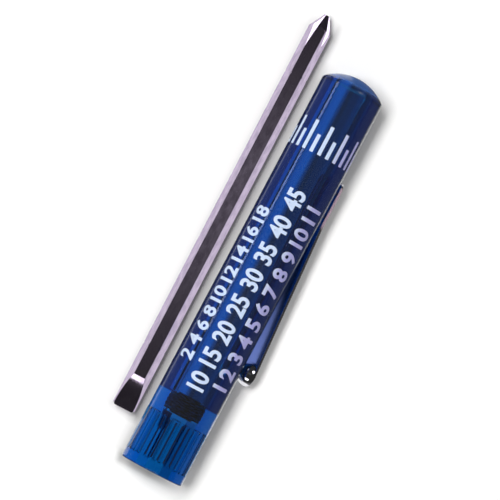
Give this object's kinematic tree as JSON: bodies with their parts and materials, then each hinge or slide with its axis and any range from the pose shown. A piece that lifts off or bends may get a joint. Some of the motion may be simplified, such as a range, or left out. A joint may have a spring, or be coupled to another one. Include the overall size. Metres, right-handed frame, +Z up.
{
  "type": "pocket screwdriver",
  "caption": "Slim pocket screwdriver: see-through blue round handle with a domed end and a sprung clip, its reversible hex blade taken out and lying beside it.",
  "frame": {"origin": "centre of the nose face, on the handle's axis, with the handle lying on a surface", "axes": "+Y along the handle to the domed end, +X towards the clip, +Z up"},
  "size_m": [0.0284, 0.1163, 0.016],
  "materials": {
    "handle_plastic": "clear blue, polished",
    "grip_rubber": "matte black",
    "clip_steel": "bright plated spring steel",
    "blade_steel": "satin plated, ground tips"
  },
  "bodies": {
    "handle": {"barrel": "handle_plastic", "end_cap": "handle_plastic", "blade_retainer": "grip_rubber", "clip_base": "clip_steel"},
    "clip": {"clip_arm": "clip_steel"},
    "blade": {"blade": "blade_steel"}
  },
  "joints": [
    {"name": "clip_flex", "type": "hinge", "parent": "handle", "child": "clip", "pos_m": [0.00748, 0.0701, -0.00383], "axis": [0.4558, 0, 0.8901], "range_deg": [0, 6], "stiffness_Nm_per_rad": 1.7, "springref_deg": -2.58},
    {"name": "blade_slide", "type": "slide", "parent": "handle", "child": "blade", "axis": [0.0075, -1, 0], "range_m": [0, 0.1]}
  ]
}
